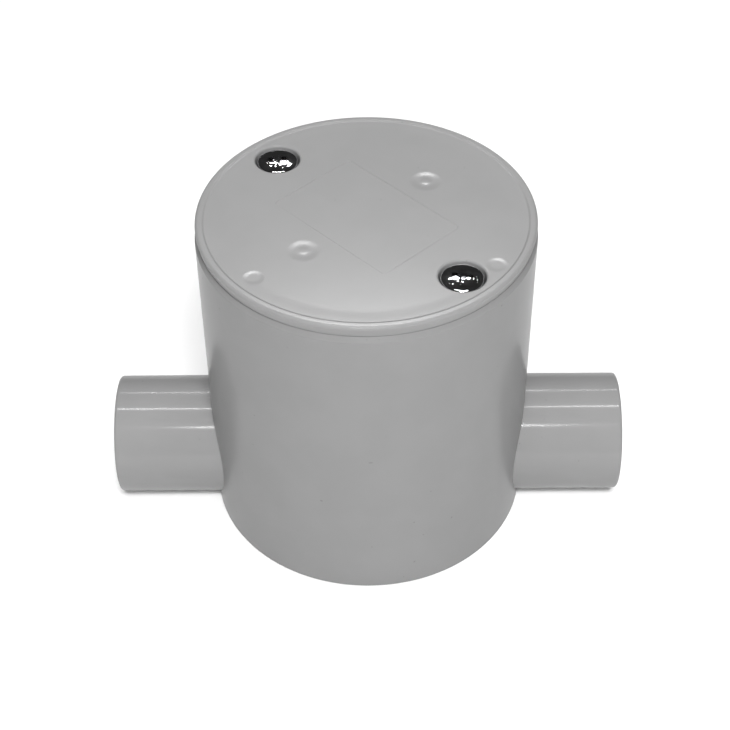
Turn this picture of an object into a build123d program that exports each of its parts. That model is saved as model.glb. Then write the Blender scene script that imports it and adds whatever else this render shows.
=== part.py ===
from build123d import *
import math
import os

# Deep two-way junction box for 20 mm conduit, in millimetres.
# The origin is the centre of the flat base, +Z is up and the sockets lie along X.

# Round box
rim_radius = 33.0
rim_height = 69.3
wall = 2.0
floor_thickness = 2.5
floor_corner = 1.2
base_edge = 0.5
rim_chamfer_width = 1.2
rim_chamfer_height = 1.65

# Conduit sockets
conduit_radius = 10.0
conduit_clearance = 0.1
socket_wall = 2.25
socket_length = 19.9
socket_depth = 20.0
socket_end_chamfer = 0.4
socket_lead = 0.5
stop_ledge = 1.6

# Lid
lid_inset = 0.2
lid_thickness = 1.75
lip_rise = 0.26
lip_run = 1.1
lid_edge_round = 1.2
skirt_depth = 2.5
skirt_thickness = 1.4
skirt_clearance = 0.3
skirt_lead = 0.4

# Marks that the mould leaves on the lid's face
panel_length = 30.4
panel_width = 20.1
panel_corner = 0.6
panel_depth = 0.08
gate_circle = 15.85
gate_angle = 42.3
gate_radius = 3.0
gate_depth = 0.22
gate_nub_radius = 0.8
gate_nub_height = 0.16

# Screws, M4 pan heads. Their inset from the wall puts them on the usual 50.8 mm centres.
screw_inset = 5.6
screw_angle = 134.0
screw_radius = 1.95
screw_length = 12.0
screw_tip = 0.4
head_radius = 4.0
head_height = 2.9
head_crown = 12.5
head_shoulder = 1.75
head_sink = 0.1
head_hole_clearance = 0.5
head_hole_chamfer = 0.3
screw_hole_clearance = 0.3
seat_thickness = 1.6
pocket_wall = 1.5

# Cross recess in each head
recess_span = 4.2
recess_slot = 0.95
recess_depth = 1.9
recess_floor_span = 1.9
recess_floor_slot = 0.7
recess_core = 1.1
recess_floor_core = 0.6

# Bosses and their threaded brass inserts
boss_wall = 1.3
boss_gap = 0.3
boss_web = 4.6
boss_hole_depth = 18.0
boss_hole_clearance = 0.3
insert_radius = 2.9
insert_length = 8.0
insert_groove_length = 1.6
insert_groove_depth = 0.5
insert_thread_clearance = 0.05
insert_mouth = 0.3
knurl_teeth = 16
knurl_depth = 0.2

# Fixing holes in the base
base_hole_centres = 38.0
base_hole_radius = 2.25
base_hole_chamfer = 0.4

# Heights and radii that follow from the sizes above
inside_radius = rim_radius - wall
bore_radius = conduit_radius + conduit_clearance
socket_radius = bore_radius + socket_wall
socket_height = socket_radius
stop_radius = bore_radius - stop_ledge
socket_reach = rim_radius + socket_length
lid_radius = rim_radius - lid_inset
lip_crest = lid_radius - lid_edge_round
face_height = rim_height + lid_thickness
skirt_radius = inside_radius - skirt_clearance
head_hole_radius = head_radius + head_hole_clearance
seat_height = face_height - head_sink - head_height
pocket_bottom = seat_height - seat_thickness
boss_top = pocket_bottom - boss_gap
boss_radius = insert_radius + boss_wall
screw_circle = inside_radius - screw_inset
over = 5.0


def around(radius, angle, height=0.0):
    """Location at a radius and an angle about the box's axis."""
    turn = math.radians(angle)
    return Pos(radius * math.cos(turn), radius * math.sin(turn), height)


def screw_places(height):
    """The two screw axes, at one height."""
    return [around(screw_circle, screw_angle + half_turn, height) for half_turn in (0, 180)]


def rod(radius, low, high):
    """Upright cylinder between two heights."""
    return Pos(0, 0, low) * Cylinder(radius, high - low, align=(Align.CENTER, Align.CENTER, Align.MIN))


def along_x(radius, start, end):
    """Cylinder along X at the sockets' height."""
    middle = Pos((start + end) / 2, 0, socket_height)
    return middle * Rot(0, 90, 0) * Cylinder(radius, abs(end - start))


def turned(outline):
    """Solid of revolution about Z from a closed outline of radius and height."""
    return revolve(Plane.XZ * make_face(outline), Axis.Z)


def rounding(radius, flats, centre, start=90):
    """Points down an outside rounding to where it stands upright, as a few short flats."""
    turns = [math.radians(start * (1 - step / flats)) for step in range(flats + 1)]
    return [(centre[0] + radius * math.cos(t), centre[1] + radius * math.sin(t)) for t in turns]


def cup_outside():
    """Round body with a small edge at the base and a chamfer under the lid."""
    return turned(
        Polyline(
            (0, 0),
            (rim_radius - base_edge, 0),
            (rim_radius, base_edge),
            (rim_radius, rim_height - rim_chamfer_height),
            (rim_radius - rim_chamfer_width, rim_height),
            (0, rim_height),
            close=True,
        )
    )


def cup_cavity():
    """Inside of the box, with a sloped corner where the wall meets the floor."""
    return turned(
        Polyline(
            (0, floor_thickness),
            (inside_radius - floor_corner, floor_thickness),
            (inside_radius, floor_thickness + floor_corner),
            (inside_radius, rim_height + over),
            (0, rim_height + over),
            close=True,
        )
    )


def socket_tube():
    """Outside of both sockets, one tube across the box with its end edges broken."""
    tube = along_x(socket_radius, -socket_reach, socket_reach)
    ends = tube.edges().filter_by(GeomType.CIRCLE)
    return chamfer(ends, socket_end_chamfer)


def socket_bore(side):
    """Bore of one socket, from its mouth to the ledge that stops the conduit."""
    mouth = side * socket_reach
    bore = along_x(bore_radius, mouth - side * socket_depth, mouth)
    lead = Cone(bore_radius, bore_radius + socket_lead, socket_lead)
    place = Pos(side * (socket_reach - socket_lead / 2), 0, socket_height)
    return bore + place * Rot(0, side * 90, 0) * lead


def screw_boss(place, angle):
    """Column for one lid screw, joined to the wall by a web over its whole height."""
    height = boss_top - floor_thickness
    reach = inside_radius + wall / 4 - screw_circle
    web = Pos(reach / 2, 0, 0) * Rectangle(reach, boss_web)
    outline = Circle(boss_radius) + web
    return place * Rot(0, 0, angle) * extrude(outline, height)


def boss_hole():
    """Hole in a boss: the insert's seat and the clear depth for the screw's end below it."""
    seat = rod(insert_radius, boss_top - insert_length, boss_top + over)
    deep = rod(screw_radius + boss_hole_clearance, boss_top - boss_hole_depth, boss_top)
    return seat + deep


def base_hole():
    """Hole for a fixing screw through the floor, chamfered on the inside."""
    hole = rod(base_hole_radius, -over, floor_thickness + over)
    mouth = Cone(base_hole_radius, base_hole_radius + base_hole_chamfer, base_hole_chamfer)
    return hole + Pos(0, 0, floor_thickness - base_hole_chamfer / 2) * mouth


def box_moulding():
    """The box: cup, sockets and screw bosses in one moulding."""
    box = cup_outside() + socket_tube() - cup_cavity()
    for half_turn in (0, 180):
        angle = screw_angle + half_turn
        box += screw_boss(around(screw_circle, angle, floor_thickness), angle)
    for place in screw_places(0):
        box -= place * boss_hole()
    for side in (-1, 1):
        box -= socket_bore(side)
        box -= Pos(0, side * base_hole_centres / 2, 0) * base_hole()
    # The way through each wall is narrower than the conduit, which leaves the stop ledge.
    for side in (-1, 1):
        box -= along_x(stop_radius, side * screw_circle, side * (rim_radius + over))
    return box


def lid_disc():
    """Disc with a low lip round its face and a skirt that centres it in the box."""
    crest_height = face_height + lip_rise
    skirt_bottom = rim_height - skirt_depth
    skirt_inside = skirt_radius - skirt_thickness
    edge_centre = (lip_crest, crest_height - lid_edge_round)
    return turned(
        Polyline(
            (0, face_height),
            (lip_crest - lip_run, face_height),
            *rounding(lid_edge_round, 3, edge_centre),
            (lid_radius, rim_height),
            (skirt_radius, rim_height),
            (skirt_radius, skirt_bottom + skirt_lead),
            (skirt_radius - skirt_lead, skirt_bottom),
            (skirt_inside, skirt_bottom),
            (skirt_inside, rim_height),
            (0, rim_height),
            close=True,
        )
    )


def gate_dish():
    """Shallow hollow in the lid's face, sloping in to half its width."""
    return Pos(0, 0, face_height - gate_depth / 2) * Cone(gate_radius / 2, gate_radius, gate_depth)


def gate_nub():
    """Small stub that the mould's gate leaves in its dish."""
    root = face_height - gate_depth
    base = rod(gate_nub_radius, root - gate_depth, root)
    top = Cone(gate_nub_radius, gate_nub_radius / 2, gate_nub_height)
    return base + Pos(0, 0, root + gate_nub_height / 2) * top


def label_panel():
    """Bare sunk panel in the middle of the face, in line with the screws."""
    outline = RectangleRounded(panel_length, panel_width, panel_corner)
    cut = extrude(outline, over)
    return Pos(0, 0, face_height - panel_depth) * Rot(0, 0, screw_angle) * cut


def head_hole():
    """Counterbore for one screw head, its mouth broken, and the clearance hole for its shank."""
    shank_hole = rod(screw_radius + screw_hole_clearance, pocket_bottom - over, seat_height)
    mouth = Cone(head_hole_radius, head_hole_radius + head_hole_chamfer, head_hole_chamfer)
    edge = Pos(0, 0, face_height - head_hole_chamfer / 2) * mouth
    return shank_hole + rod(head_hole_radius, seat_height, face_height + over) + edge


def lid():
    """The lid: disc, skirt, screw pockets and the marks of its mould."""
    pocket_radius = head_hole_radius + pocket_wall
    within = rod(skirt_radius, pocket_bottom - over, face_height)
    cover = lid_disc()
    for place in screw_places(0):
        cover += (place * rod(pocket_radius, pocket_bottom, rim_height + lid_thickness / 2)) & within
    for place in screw_places(0):
        cover -= place * head_hole()
    cover -= label_panel()
    for half_turn in (0, 180):
        place = around(gate_circle, gate_angle + half_turn)
        cover -= place * gate_dish()
        cover += place * gate_nub()
    return cover


def recess_bar():
    """One bar of the cross recess, tapered from its mouth down to its floor."""
    end = (recess_span - recess_floor_span) / 2
    side = (recess_slot - recess_floor_slot) / 2
    far_end = recess_span - end
    far_side = recess_slot - side
    return Rot(-90, 0, 0) * Wedge(recess_span, recess_depth, recess_slot, end, side, far_end, far_side)


def cross_recess():
    """Tapered cross with a round core, its mouth at the top of the head."""
    core = Cone(recess_floor_core, recess_core, recess_depth)
    cross = recess_bar() + Rot(0, 0, 90) * recess_bar() + core
    return Pos(0, 0, head_height - recess_depth / 2) * cross


def lid_screw(place):
    """Screw with a low crowned pan head. Its shank is plain at the thread's outer size."""
    shoulder_in = head_radius - head_shoulder
    lean = math.asin(shoulder_in / (head_crown - head_shoulder))
    drop = head_crown - (head_crown - head_shoulder) * math.cos(lean)
    outline = Polyline(
        (0, head_height),
        *rounding(head_shoulder, 2, (shoulder_in, head_height - drop), 90 - math.degrees(lean)),
        (head_radius, 0),
        (screw_radius, 0),
        (screw_radius, screw_tip - screw_length),
        (screw_radius - screw_tip, -screw_length),
        (0, -screw_length),
        close=True,
    )
    return place * (turned(outline) - cross_recess())


def knurled_band(low, high):
    """One knurled band of an insert, between two heights below its top."""
    step = 180 / knurl_teeth
    points = []
    for tooth in range(knurl_teeth):
        for half, radius in ((0, insert_radius), (1, insert_radius - knurl_depth)):
            turn = math.radians((2 * tooth + half) * step)
            points.append((radius * math.cos(turn), radius * math.sin(turn)))
    return Pos(0, 0, low) * extrude(make_face(Polyline(*points, close=True)), high - low)


def brass_insert(place):
    """Threaded insert pressed into a boss, with two knurled bands and a groove between them."""
    band = (insert_length - insert_groove_length) / 2
    thread_radius = screw_radius + insert_thread_clearance
    insert = rod(insert_radius - insert_groove_depth, -insert_length, 0)
    insert += knurled_band(-insert_length, band - insert_length)
    insert += knurled_band(-band, 0)
    insert -= rod(thread_radius, -insert_length - over, over)
    mouth = Cone(thread_radius, thread_radius + insert_mouth, insert_mouth)
    return place * (insert - Pos(0, 0, -insert_mouth / 2) * mouth)


def write(name, solid):
    """Save one piece under its name."""
    solid.label = name
    export_step(solid, f"parts/{name}.step")


os.makedirs("parts", exist_ok=True)
write("box_moulding", box_moulding())
write("lid", lid())
for number in (1, 2):
    write(f"lid_screw_{number}", lid_screw(screw_places(seat_height)[number - 1]))
    write(f"brass_insert_{number}", brass_insert(screw_places(boss_top)[number - 1]))
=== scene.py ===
import math

import bmesh
import bpy
from mathutils import Matrix, Vector


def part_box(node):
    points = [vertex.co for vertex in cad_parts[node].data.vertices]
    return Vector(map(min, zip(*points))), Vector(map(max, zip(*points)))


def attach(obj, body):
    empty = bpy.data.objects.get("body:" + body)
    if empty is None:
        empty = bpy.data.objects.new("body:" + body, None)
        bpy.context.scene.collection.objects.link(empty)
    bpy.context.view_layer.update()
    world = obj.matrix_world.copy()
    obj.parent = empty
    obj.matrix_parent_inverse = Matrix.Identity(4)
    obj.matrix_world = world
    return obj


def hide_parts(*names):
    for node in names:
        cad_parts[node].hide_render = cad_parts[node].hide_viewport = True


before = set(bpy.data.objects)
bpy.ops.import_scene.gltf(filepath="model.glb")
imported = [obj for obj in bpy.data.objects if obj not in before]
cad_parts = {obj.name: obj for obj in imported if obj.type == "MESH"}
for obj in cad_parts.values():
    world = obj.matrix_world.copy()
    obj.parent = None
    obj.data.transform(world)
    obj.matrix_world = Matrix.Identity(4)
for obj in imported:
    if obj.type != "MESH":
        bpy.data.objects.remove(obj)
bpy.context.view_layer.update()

# Camera.
# It stands in front of the box, midway between the two sockets, and looks down on it at 43 degrees
# through a long lens.
camera_place = Vector((0.001155, -0.253813, 0.268029))
camera_yaw = math.radians(-0.38)
camera_pitch = math.radians(-42.94)
camera_roll = math.radians(-0.62)
camera_lens = 82.51
sensor_width = 36.0

lens = bpy.data.cameras.new("camera")
lens.lens = camera_lens
lens.sensor_width = sensor_width
lens.clip_start = 0.01
camera = bpy.data.objects.new("camera", lens)
bpy.context.scene.collection.objects.link(camera)
aim = Matrix.Rotation(-camera_yaw, 4, "Z") @ Matrix.Rotation(math.pi / 2 + camera_pitch, 4, "X")
camera.matrix_world = Matrix.Translation(camera_place) @ aim @ Matrix.Rotation(camera_roll, 4, "Z")
bpy.context.scene.camera = camera

# Round box.
# One injection moulding in grey rigid PVC: a deep cup with a conduit socket low on each side and two
# screw bosses inside. The steel leaves its walls glossy, with faint draw marks down them.
mm = 0.001
box_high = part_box("box_moulding")[1]
rim_radius = box_high.y
rim_height = box_high.z
socket_reach = box_high.x
wall = 2.0 * mm
draft = 0.25 * mm
floor_thickness = 2.5 * mm
floor_corner = 1.5 * mm
base_edge = 0.5 * mm
rim_neck = 0.75 * mm
rim_chamfer_width = 0.85 * mm
rim_chamfer_height = 0.85 * mm
chamfer_softness = 0.12 * mm
inside_radius = rim_radius - wall

bore_radius = 10.1 * mm
socket_wall = 2.25 * mm
socket_radius = bore_radius + socket_wall
socket_depth = 20.0 * mm
socket_end_round = 0.6 * mm
socket_lead = 0.5 * mm
stop_ledge = 1.6 * mm
stop_radius = bore_radius - stop_ledge

screw_low, screw_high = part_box("lid_screw_1")
insert_low, insert_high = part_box("brass_insert_1")
screw_centre = (screw_low + screw_high) / 2
screw_circle = math.hypot(screw_centre.x, screw_centre.y)
screw_angle = math.atan2(screw_centre.y, screw_centre.x)
boss_top = insert_high.z
boss_radius = 4.2 * mm
boss_web = 4.6 * mm
boss_web_bite = wall / 4
insert_radius = (insert_high.x - insert_low.x) / 2
insert_length = insert_high.z - insert_low.z
boss_hole_depth = 18.0 * mm
boss_hole_radius = 2.25 * mm
base_hole_place = 19.0 * mm
base_hole_radius = 2.25 * mm
base_hole_chamfer = 0.4 * mm
overcut = 5.0 * mm


def arc(centre, radius, start, end, steps=6):
    """Points of radius and height along a round, between two angles in degrees."""
    turns = [math.radians(start + (end - start) * step / steps) for step in range(steps + 1)]
    return [(centre[0] + radius * math.cos(t), centre[1] + radius * math.sin(t)) for t in turns]


def turned(outline, segments=256):
    """A closed shape turned about Z, from its lower cap to its upper one."""
    shape = bmesh.new()
    turns = [2 * math.pi * (step + 0.5) / segments for step in range(segments)]
    rings = []
    for radius, height in outline:
        spots = [(radius * math.cos(t), radius * math.sin(t), height) for t in turns]
        rings.append([shape.verts.new(spot) for spot in spots])
    for lower, upper in zip(rings, rings[1:]):
        for step in range(segments):
            after = (step + 1) % segments
            shape.faces.new((lower[step], lower[after], upper[after], upper[step]))
    shape.faces.new(rings[0][::-1])
    shape.faces.new(rings[-1])
    bmesh.ops.recalc_face_normals(shape, faces=shape.faces)
    return shape


def prism(lower, upper, low, high):
    """A closed shape between two outlines of as many points, one above the other."""
    shape = bmesh.new()
    foot = [shape.verts.new((x, y, low)) for x, y in lower]
    head = [shape.verts.new((x, y, high)) for x, y in upper]
    for step in range(len(foot)):
        after = (step + 1) % len(foot)
        shape.faces.new((foot[step], foot[after], head[after], head[step]))
    shape.faces.new(foot[::-1])
    shape.faces.new(head)
    bmesh.ops.recalc_face_normals(shape, faces=shape.faces)
    return shape


def solid(name, shape, place=Matrix.Identity(4)):
    """Object of a shape, set in its place."""
    mesh = bpy.data.meshes.new(name)
    shape.transform(place)
    shape.to_mesh(mesh)
    shape.free()
    made = bpy.data.objects.new(name, mesh)
    bpy.context.scene.collection.objects.link(made)
    return made


def carve(piece, shape, place=Matrix.Identity(4), operation="DIFFERENCE"):
    """Cut a shape from a piece, join it on, or keep only what both fill."""
    tool = solid("tool", shape, place)
    cut = piece.modifiers.new("cut", "BOOLEAN")
    cut.operation = operation
    cut.solver = "EXACT"
    cut.object = tool
    bpy.context.view_layer.update()
    whole = piece.evaluated_get(bpy.context.evaluated_depsgraph_get())
    result = bpy.data.meshes.new_from_object(whole)
    piece.modifiers.clear()
    spent = [piece.data, tool.data]
    piece.data = result
    bpy.data.objects.remove(tool)
    for mesh in spent:
        bpy.data.meshes.remove(mesh)


def soften(piece, angle=28.0):
    """Smooth shading that keeps the crisp edges crisp and the flats flat."""
    piece.data.shade_smooth()
    piece.data.set_sharp_from_angle(angle=math.radians(angle))
    flats = piece.modifiers.new("flats", "WEIGHTED_NORMAL")
    flats.keep_sharp = True
    flats.weight = 100


def dress(piece, name, node, body, material):
    """Name a piece, give it its finish, and let it stand for its node and ride on its body."""
    piece.name = name
    piece.data.name = name
    piece.data.materials.clear()
    piece.data.materials.append(material)
    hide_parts(node)
    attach(piece, body)


def shift(x=0.0, y=0.0, z=0.0):
    """Place moved from the centre of the base."""
    return Matrix.Translation((x, y, z))


def cup_outline():
    """Outside of the cup: rounded base edge, drafted wall, chamfer and the short neck under the lid."""
    foot = rim_radius - draft
    chamfer_foot = rim_height - rim_neck - rim_chamfer_height
    slope = math.degrees(math.atan2(rim_chamfer_height, rim_chamfer_width))
    back = chamfer_softness * math.tan(math.radians((90 - slope) / 2))
    return [
        *arc((foot - base_edge, base_edge), base_edge, -90, 0),
        *arc((rim_radius - chamfer_softness, chamfer_foot - back), chamfer_softness, 0, 90 - slope, 3),
        (rim_radius - rim_chamfer_width, rim_height - rim_neck),
        (rim_radius - rim_chamfer_width, rim_height),
    ]


def cup_cavity():
    """Inside of the cup, with a rounded corner at the floor."""
    corner = (inside_radius - floor_corner, floor_thickness + floor_corner)
    return [*arc(corner, floor_corner, -90, 0), (inside_radius, rim_height + overcut)]


def socket_outline():
    """Both sockets as one bar, its two ends rounded, centred on the box."""
    end = socket_reach - socket_end_round
    shoulder = socket_radius - socket_end_round
    return [
        *arc((shoulder, -end), socket_end_round, -90, 0),
        *arc((shoulder, end), socket_end_round, 0, 90),
    ]


def bore_outline():
    """One socket's bore from the way through the wall to its mouth, with the stop ledge and the lead."""
    ledge = socket_reach - socket_depth
    return [
        (stop_radius, screw_circle),
        (stop_radius, ledge),
        (bore_radius, ledge),
        (bore_radius, socket_reach - socket_lead),
        (bore_radius + socket_lead, socket_reach),
        (bore_radius + socket_lead, socket_reach + overcut),
    ]


def boss_outline():
    """Plan of one screw boss at the screw's axis, with its web running out to the wall."""
    reach = inside_radius + boss_web_bite - screw_circle
    half = boss_web / 2
    open_angle = math.degrees(math.asin(half / boss_radius))
    return [*arc((0, 0), boss_radius, open_angle, 360 - open_angle, 48), (reach, -half), (reach, half)]


half_turns = (0, math.pi)
along_x = shift(z=socket_radius) @ Matrix.Rotation(math.pi / 2, 4, "Y")
socket_places = [Matrix.Rotation(half_turn, 4, "Z") @ along_x for half_turn in half_turns]
screw_places = [
    Matrix.Rotation(screw_angle + half_turn, 4, "Z") @ shift(screw_circle) for half_turn in half_turns
]
insert_bore = [(insert_radius, boss_top - insert_length), (insert_radius, boss_top + overcut)]
boss_hole = [(boss_hole_radius, boss_top - boss_hole_depth), (boss_hole_radius, boss_top)]
base_hole = [
    (base_hole_radius, -overcut),
    (base_hole_radius, floor_thickness - base_hole_chamfer),
    (base_hole_radius + base_hole_chamfer + overcut, floor_thickness + overcut),
]

box = solid("round_box", turned(cup_outline()))
carve(box, turned(socket_outline(), 160), along_x, "UNION")
carve(box, turned(cup_cavity()))
for place in screw_places:
    carve(box, prism(boss_outline(), boss_outline(), floor_thickness / 2, boss_top), place, "UNION")
    carve(box, turned(insert_bore, 64), place)
    carve(box, turned(boss_hole, 48), place)
for place in socket_places:
    carve(box, turned(bore_outline(), 128), place)
for place in (shift(y=-base_hole_place), shift(y=base_hole_place)):
    carve(box, turned(base_hole, 64), place)
soften(box)


class Shade:
    """A socket in a material. Sums and products of it add the nodes that work them out."""

    def __init__(self, tree, socket=None):
        self.tree = tree
        self.socket = socket

    def node(self, kind, settings=None, sockets=None, output=0):
        """Add one node: its settings come first, then the values or links of its sockets."""
        made = self.tree.nodes.new("ShaderNode" + kind)
        for name, value in (settings or {}).items():
            setattr(made, name, value)
        for name, value in (sockets or {}).items():
            if isinstance(value, Shade):
                self.tree.links.new(value.socket, made.inputs[name])
            else:
                made.inputs[name].default_value = value
        return Shade(self.tree, made.outputs[output])

    def maths(self, operation, first, second):
        """Sum, difference or product of two values."""
        return self.node("Math", {"operation": operation}, {0: first, 1: second})

    def __add__(self, other):
        return self.maths("ADD", self, other)

    def __sub__(self, other):
        return self.maths("SUBTRACT", self, other)

    def __rsub__(self, other):
        return self.maths("SUBTRACT", other, self)

    def __mul__(self, other):
        return self.maths("MULTIPLY", self, other)

    __radd__ = __add__
    __rmul__ = __mul__

    def noise(self, scale, detail=3.0, stretch=(1.0, 1.0, 1.0)):
        """Soft cloudy values about one half, with so many features to the metre."""
        place = self.node("TexCoord", output="Object")
        drawn = self.node("VectorMath", {"operation": "MULTIPLY"}, {0: place, 1: stretch})
        return self.node("TexNoise", None, {"Vector": drawn, "Scale": scale, "Detail": detail}, "Fac")

    def above(self, low, high):
        """Nought below one value, one above the other, and a smooth rise between them."""
        settings = {"interpolation_type": "SMOOTHSTEP"}
        return self.node("MapRange", settings, {"Value": self, "From Min": low, "From Max": high})

    def blend(self, first, second):
        """Colour that goes from the first to the second as this value rises."""
        return self.node("Mix", {"data_type": "RGBA"}, {0: self, 6: first, 7: second}, 2)

    def bump(self, strength, depth):
        """Normal of a surface that stands up by this height."""
        return self.node("Bump", None, {"Height": self, "Strength": strength, "Distance": depth})


def blank(name):
    """A new material, its tree and the finish node in it."""
    material = bpy.data.materials.new(name)
    material.use_nodes = True
    finish = material.node_tree.nodes["Principled BSDF"]
    return material, Shade(material.node_tree), finish


def feed(shade, finish, **sockets):
    """Link values that vary over the surface to the finish node, or set those that don't."""
    for name, value in sockets.items():
        socket = finish.inputs[name.replace("_", " ")]
        if isinstance(value, Shade):
            shade.tree.links.new(value.socket, socket)
        else:
            socket.default_value = value


def grey(tone):
    """Colour with as much red as green and blue."""
    return (tone, tone, tone, 1)


def grey_pvc(name, tone, haze, shine, draw_marks):
    """Rigid PVC, grey right through. The mould leaves it glossy, slightly wavy and finely marked."""
    material, shade, finish = blank(name)
    clouds = shade.noise(90.0, 2.0)
    grain = shade.noise(1400.0, 4.0)
    marks = shade.noise(700.0, 3.0, (1.0, 1.0, 0.035))
    specks = shade.noise(900.0, 1.0).above(0.79, 0.81)
    dust = shade.noise(900.0, 2.0).above(0.70, 0.78)
    waves = shade.noise(160.0, 1.0)
    clouded = clouds.above(0.35, 0.65).blend(grey(tone * 0.985), grey(tone * 1.015))
    speckled = (specks * 0.5).blend(clouded, grey(tone * 0.55))
    height = waves * 0.15 + grain * 0.05 + marks * draw_marks - dust * 0.02
    feed(
        shade,
        finish,
        Base_Color=speckled,
        Roughness=0.3 + clouds * 0.05 + dust * 0.12,
        Specular_IOR_Level=0.06,
        Coat_Weight=shine + clouds * 0.03 - dust * 0.06,
        Coat_Roughness=haze,
        Coat_IOR=1.8,
        Normal=height.bump(1.0, 0.02 * mm),
    )
    return material


box_grey = grey_pvc("grey_pvc", 0.216, 0.11, 0.145, 0.12)
dress(box, "round_box", "box_moulding", "box", box_grey)

# Brass inserts.
# Two small turned bushes with an M4 thread and knurled sides, pressed hot into the tops of the bosses.
# They show only when the lid is off.


def turned_brass():
    """Brass from the lathe, with fine rings of lighter and darker metal."""
    material, shade, finish = blank("brass")
    rings = shade.noise(2600.0, 2.0, (1.0, 1.0, 0.2))
    feed(
        shade,
        finish,
        Base_Color=rings.above(0.3, 0.7).blend((0.55, 0.36, 0.12, 1), (0.75, 0.53, 0.22, 1)),
        Metallic=1.0,
        Roughness=0.2 + rings * 0.15,
        Normal=rings.bump(0.5, 0.02 * mm),
    )
    return material


brass = turned_brass()
for number in (1, 2):
    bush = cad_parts[f"brass_insert_{number}"]
    bush.data.materials.clear()
    bush.data.materials.append(brass)

# Lid.
# A flat disc in the same grey PVC, moulded face up. It has a low lip round its edge, a skirt that
# centres it in the box, two counterbores for the screws, and the marks that its mould leaves.
lid_low, lid_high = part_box("lid")
lid_radius = lid_high.y
lip_rise = 0.26 * mm
face_height = lid_high.z - lip_rise
lip_crest = 0.18 * mm
lid_edge_round = 0.6 * mm
lid_edge_lean = 0.35 * mm
lid_edge_drop = 0.35 * mm
lid_edge_break = 0.1 * mm
gentle_foot = 27.8 * mm
gentle_rise = 0.03 * mm
slope_foot = 31.0 * mm
slope_head = 31.5 * mm
lid_play = 0.3 * mm
skirt_wall = 1.4 * mm
skirt_radius = inside_radius - lid_play
skirt_inside = skirt_radius - skirt_wall
skirt_bottom = lid_low.z
skirt_lead = 0.4 * mm
head_hole_radius = 4.45 * mm
head_hole_round = 0.4 * mm
head_hole_round_end = 92.0
screw_length = 12.0 * mm
head_seat = screw_low.z + screw_length
pocket_radius = 6.0 * mm
pocket_floor = 1.6 * mm
pocket_bottom = head_seat - pocket_floor
pocket_bite = 0.5 * mm
pocket_clearance = 0.01 * mm
pocket_reach = skirt_radius - pocket_clearance
shank_hole_radius = 2.25 * mm
shank_overcut = 0.5 * mm

panel_length = 30.4 * mm
panel_width = 20.1 * mm
panel_corner = 0.6 * mm
panel_depth = 0.09 * mm
panel_slope = 0.12 * mm
gate_circle = 15.85 * mm
gate_angle = math.radians(42.3)
gate_radius = 3.3 * mm
gate_depths = [0.09 * mm, 0.05 * mm]
nub_radius = 1.3 * mm
nub_top_share = 0.3
nub_rise_share = 0.5
sink_circles = [27.7 * mm, 28.5 * mm]
sink_angles = [math.radians(221.8), math.radians(327.8)]
sink_radius = 2.2 * mm
sink_depth = 0.04 * mm
hollow_floor_share = 0.45
hollow_middle_share = 0.08


def swell(start, end, steps):
    """Points of a smooth S between two points of radius and height, level at both ends."""
    shares = [step / steps for step in range(steps + 1)]
    eased = [share * share * (3 - 2 * share) for share in shares]
    return [
        (start[0] + (end[0] - start[0]) * share, start[1] + (end[1] - start[1]) * ease)
        for share, ease in zip(shares, eased)
    ]


def lid_outline():
    """Outside of the lid from the skirt's bottom, round the edge and in to the flat of the face."""
    crest = face_height + lip_crest
    edge_centre = (lid_radius - lid_edge_round, crest - lid_edge_round)
    side_foot = lid_radius - lid_edge_lean
    side_low = rim_height - lid_edge_drop
    mid = (slope_foot, face_height + gentle_rise)
    lip = swell((gentle_foot, face_height), mid, 5)[:-1] + swell(mid, (slope_head, crest), 14)
    return [
        (skirt_radius - skirt_lead, skirt_bottom),
        (skirt_radius, skirt_bottom + skirt_lead),
        (skirt_radius, rim_height),
        (rim_radius - rim_chamfer_width, rim_height),
        *arc((side_foot - lid_edge_break, side_low + lid_edge_break), lid_edge_break, -60, 0, 3),
        *arc(edge_centre, lid_edge_round, 0, 90, 14),
        *lip[::-1],
    ]


def hollow_outline(radius, depth):
    """Soft-edged hollow in the face: an S from its floor up to its edge, and on up."""
    floor_height = face_height - depth
    slope = swell((radius * hollow_floor_share, floor_height), (radius, face_height), 14)
    return [(radius * hollow_middle_share, floor_height), *slope, (radius, face_height + overcut)]


def rounded_rectangle(length, width, corner):
    """Plan of a rectangle with rounded corners."""
    x = length / 2 - corner
    y = width / 2 - corner
    points = []
    for centre, start in (((x, y), 0), ((-x, y), 90), ((-x, -y), 180), ((x, -y), 270)):
        points += arc(centre, corner, start, start + 90, 5)
    return points


underside = [(skirt_inside, skirt_bottom - overcut), (skirt_inside, rim_height)]
pocket = [(pocket_radius, pocket_bottom), (pocket_radius, rim_height + pocket_bite)]
within_skirt = [(pocket_reach, pocket_bottom - overcut), (pocket_reach, face_height)]
head_hole_edge = (head_hole_radius + head_hole_round, face_height - head_hole_round)
head_hole = [
    (head_hole_radius, head_seat),
    (head_hole_radius, face_height - head_hole_round),
    *arc(head_hole_edge, head_hole_round, 180, head_hole_round_end, 7)[1:],
    (head_hole_radius + head_hole_round, face_height + overcut),
]
shank_hole = [
    (shank_hole_radius, pocket_bottom - overcut),
    (shank_hole_radius, head_seat + shank_overcut),
]
panel_floor = rounded_rectangle(
    panel_length - 2 * panel_slope, panel_width - 2 * panel_slope, panel_corner
)
panel_mouth = rounded_rectangle(
    panel_length + 2 * panel_slope, panel_width + 2 * panel_slope, panel_corner + 2 * panel_slope
)

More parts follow.
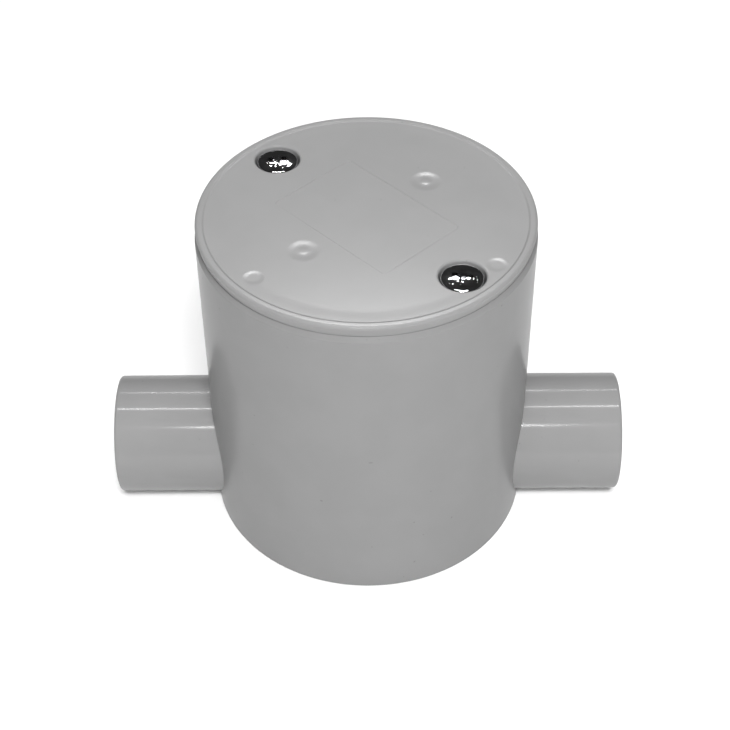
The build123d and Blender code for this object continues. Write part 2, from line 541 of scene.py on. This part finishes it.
lid = solid("lid_disc", turned(lid_outline()))
carve(lid, turned(underside, 192))
pockets = solid("pockets", turned(pocket, 96), screw_places[0])
carve(pockets, turned(pocket, 96), screw_places[1], "UNION")
carve(pockets, turned(within_skirt, 192), operation="INTERSECT")
pocket_shape = bmesh.new()
pocket_shape.from_mesh(pockets.data)
bpy.data.objects.remove(pockets)
carve(lid, pocket_shape, operation="UNION")
for place in screw_places:
    carve(lid, turned(head_hole, 96), place)
    carve(lid, turned(shank_hole, 48), place)
panel = prism(panel_floor, panel_mouth, face_height - panel_depth, face_height + panel_depth)
carve(lid, panel, Matrix.Rotation(screw_angle, 4, "Z"))
for half_turn, gate_depth in zip(half_turns, gate_depths):
    place = Matrix.Rotation(gate_angle + half_turn, 4, "Z") @ shift(gate_circle)
    carve(lid, turned(hollow_outline(gate_radius, gate_depth), 96), place)
    root = face_height - gate_depth
    nub_top = (nub_radius * nub_top_share, root + gate_depth * nub_rise_share)
    nub = [(nub_radius, root - gate_depth), *swell((nub_radius, root), nub_top, 6)]
    carve(lid, turned(nub, 48), place, "UNION")
for circle, angle in zip(sink_circles, sink_angles):
    place = Matrix.Rotation(angle, 4, "Z") @ shift(circle)
    carve(lid, turned(hollow_outline(sink_radius, sink_depth), 64), place)
soften(lid)
# The lid's grey is painted light: it is the same PVC as the box, given a slightly lighter tone (0.23
# against 0.216) for the light that falls on its upward face.
lid_grey_painted_lighter = grey_pvc("grey_pvc_lid", 0.23, 0.16, 0.25, 0.0)
dress(lid, "screw_lid", "lid", "lid", lid_grey_painted_lighter)

# Lid screws.
# Two M4 pan head screws, cold headed in steel with a rolled thread and bright plating. Each drops
# through its counterbore in the lid into the brass insert below.
head_radius = 4.25 * mm
head_height = 3.2 * mm
head_crown = 13.5 * mm
head_crown_end = 89.8
head_shoulder = 0.7 * mm
head_edge = 0.25 * mm
screw_radius = 1.95 * mm
screw_tip = 0.4 * mm
pitch = 0.7 * mm
thread_depth = 0.43 * mm
thread_form = [0.0, 0.0, 0.33, 0.75, 1.0, 1.0, 0.75, 0.33]
recess_span = 4.2 * mm
recess_slot = 0.95 * mm
recess_depth = 1.9 * mm
recess_floor_span = 1.9 * mm
recess_floor_slot = 0.7 * mm
recess_core = 1.1 * mm
recess_floor_core = 0.6 * mm
recess_angles = [math.radians(8.0), math.radians(-12.0)]


def head_outline():
    """Outside of the pan head from its seat, round its shoulder and over its low crown."""
    shoulder_in = head_radius - head_shoulder
    lean = math.asin(shoulder_in / (head_crown - head_shoulder))
    drop = head_crown - (head_crown - head_shoulder) * math.cos(lean)
    turn_in = 90 - math.degrees(lean)
    return [
        (head_radius - head_edge, 0),
        *arc((head_radius - head_edge, head_edge), head_edge, -60, 0, 3),
        *arc((shoulder_in, head_height - drop), head_shoulder, 0, turn_in, 14),
        *arc((0, head_height - head_crown), head_crown, turn_in, head_crown_end, 10)[1:],
    ]


def cross(span, slot):
    """Plan of a cross recess, twelve corners."""
    a = span / 2
    b = slot / 2
    quarter = [(a, -b), (a, b), (b, b)]
    half = [*quarter, *[(-y, x) for x, y in quarter]]
    return [*half, *[(-x, -y) for x, y in half]]


def thread_shape(low, high, segments=48):
    """A long threaded bar whose rows of points climb with the helix."""
    steps = len(thread_form)
    rows = int((high - low) / pitch * steps) + steps
    shape = bmesh.new()
    points = []
    for segment in range(segments):
        turn = 2 * math.pi * segment / segments
        line = []
        for row in range(rows + 1):
            radius = screw_radius - thread_depth * (1 - thread_form[row % steps])
            height = low + pitch * (row / steps + segment / segments)
            line.append(shape.verts.new((radius * math.cos(turn), radius * math.sin(turn), height)))
        points.append(line)
    for line, after in zip(points, points[1:]):
        for row in range(rows):
            shape.faces.new((line[row], after[row], after[row + 1], line[row + 1]))
    first = points[0]
    last = points[-1]
    for row in range(rows - steps):
        shape.faces.new((last[row], first[row + steps], first[row + steps + 1], last[row + 1]))
    foot = [line[0] for line in points] + [first[row] for row in range(steps, 0, -1)]
    head = [last[row] for row in range(rows - steps, rows)] + [line[rows] for line in points[::-1]]
    shape.faces.new(foot[::-1])
    shape.faces.new(head)
    bmesh.ops.recalc_face_normals(shape, faces=shape.faces)
    return shape


def lid_screw(name):
    """One screw on its own axis, its head's seat at nought."""
    screw = solid(name, thread_shape(-screw_length - 2 * pitch, head_edge))
    bar = [
        (screw_radius - screw_tip, -screw_length),
        (screw_radius, screw_tip - screw_length),
        (screw_radius, head_edge / 2),
    ]
    carve(screw, turned(bar, 96), operation="INTERSECT")
    carve(screw, turned(head_outline(), 96), operation="UNION")
    wings = prism(
        cross(recess_floor_span, recess_floor_slot),
        cross(recess_span, recess_slot),
        head_height - recess_depth,
        head_height,
    )
    carve(screw, wings)
    core = [(recess_floor_core, head_height - recess_depth), (recess_core, head_height)]
    carve(screw, turned(core, 48))
    return screw


def bright_plating():
    """Plated steel, almost a mirror, with the small dents and stains of loose handling."""
    material, shade, finish = blank("plated_steel")
    scratches = shade.noise(1800.0, 3.0)
    dents = shade.noise(1700.0, 1.0, (1.0, 0.6, 1.0)).above(0.57, 0.75)
    stains = shade.noise(500.0, 2.0)
    feed(
        shade,
        finish,
        Base_Color=stains.above(0.35, 0.7).blend((0.62, 0.62, 0.63, 1), (0.8, 0.8, 0.81, 1)),
        Metallic=1.0,
        Roughness=0.04 + stains * 0.06,
        Normal=(scratches * 0.08 - dents * 0.9).bump(1.0, 0.02 * mm),
    )
    return material


plating = bright_plating()
for number, place, angle in zip((1, 2), screw_places, recess_angles):
    node = f"lid_screw_{number}"
    screw = lid_screw(node)
    spot = place.to_translation()
    screw.data.transform(shift(spot.x, spot.y, head_seat) @ Matrix.Rotation(angle, 4, "Z"))
    soften(screw, 32.0)
    dress(screw, f"cover_screw_{number}", node, node, plating)

# Floor and light.
# The box stands on a plain near-white floor of matt paper. Narrow studio lamps in front, overhead and
# behind draw the bright lines in its gloss, and broader ones fill the shade.
floor_reach = 3.0


def floor_paper():
    """Matt near-white paper, very slightly cloudy."""
    material, shade, finish = blank("floor_white")
    clouds = shade.noise(60.0, 2.0)
    feed(shade, finish, Base_Color=clouds.blend(grey(0.87), grey(0.89)), Roughness=0.8)
    return material


ground = bmesh.new()
bmesh.ops.create_grid(ground, x_segments=1, y_segments=1, size=floor_reach)
floor = solid("floor", ground)
floor.data.materials.append(floor_paper())

box_centre = Vector((0, 0, rim_height / 2))


def lamp(name, azimuth, elevation, distance, width, height, power, mirrored=True):
    """A soft rectangular lamp that looks at the box from one direction, mirrored in gloss or not."""
    light = bpy.data.lights.new(name, "AREA")
    light.shape = "RECTANGLE"
    light.size = width
    light.size_y = height
    light.energy = power
    made = bpy.data.objects.new(name, light)
    bpy.context.scene.collection.objects.link(made)
    around = math.radians(azimuth)
    up = math.radians(elevation)
    away = Vector((math.cos(up) * math.cos(around), math.cos(up) * math.sin(around), math.sin(up)))
    made.location = box_centre + away * distance
    made.rotation_euler = away.to_track_quat("Z", "Y").to_euler()
    made.visible_glossy = mirrored


lamp("lamp_behind", 90, 48, 1.2, 0.5, 0.03, 1.35)
lamp("spot_behind", 90, 48, 1.2, 0.06, 0.04, 0.3)
lamp("lamp_above", 90, 87, 1.0, 0.5, 0.03, 2.6)
lamp("lamp_front", -90, 54, 1.0, 0.29, 0.05, 2.6)
lamp("fill_front", -84, 54, 1.0, 0.3, 0.2, 8.4, False)
lamp("fill_behind", 90, 48, 1.2, 0.24, 0.14, 2.2)
lamp("fill_low", -90, 35, 1.4, 1.2, 0.6, 7.0, False)
lamp("fill_right", -40, 40, 1.3, 0.7, 0.7, 0.6, False)

studio = bpy.data.worlds.new("studio")
studio.use_nodes = True
surround = studio.node_tree.nodes["Background"]
surround.inputs["Color"].default_value = grey(1.0)
surround.inputs["Strength"].default_value = 0.03
bpy.context.scene.world = studio
bpy.context.scene.view_settings.view_transform = "Standard"
